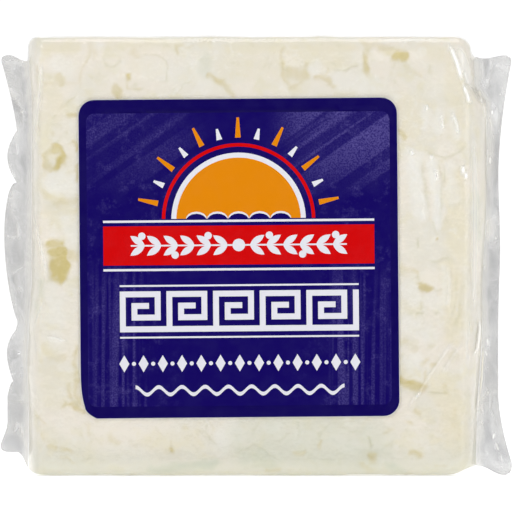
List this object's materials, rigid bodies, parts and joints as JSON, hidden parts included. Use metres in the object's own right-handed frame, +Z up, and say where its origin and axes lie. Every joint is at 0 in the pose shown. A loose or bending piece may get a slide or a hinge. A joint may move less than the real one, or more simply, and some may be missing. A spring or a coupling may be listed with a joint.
{
  "type": "vacuum-packed feta block",
  "caption": "Upright rectangular block of feta cheese, vacuum-sealed in clear film with sealed side fins and a square front label.",
  "frame": {"origin": "on the floor under the middle of the pack", "axes": "+Z up, +X to the right along the pack's width, and the label on the -Y side"},
  "size_m": [0.1023, 0.0282, 0.088],
  "materials": {
    "cheese": "moist cream-white curd with a few yellowish whey pockets",
    "film": "clear heat-shrunk film, glossy over the cheese and grey where it is sealed to itself",
    "label": "satin printed label, deep blue with orange, red and white"
  },
  "bodies": {
    "root": {"sealed_bag": "cheese", "label": "label"}
  },
  "joints": []
}
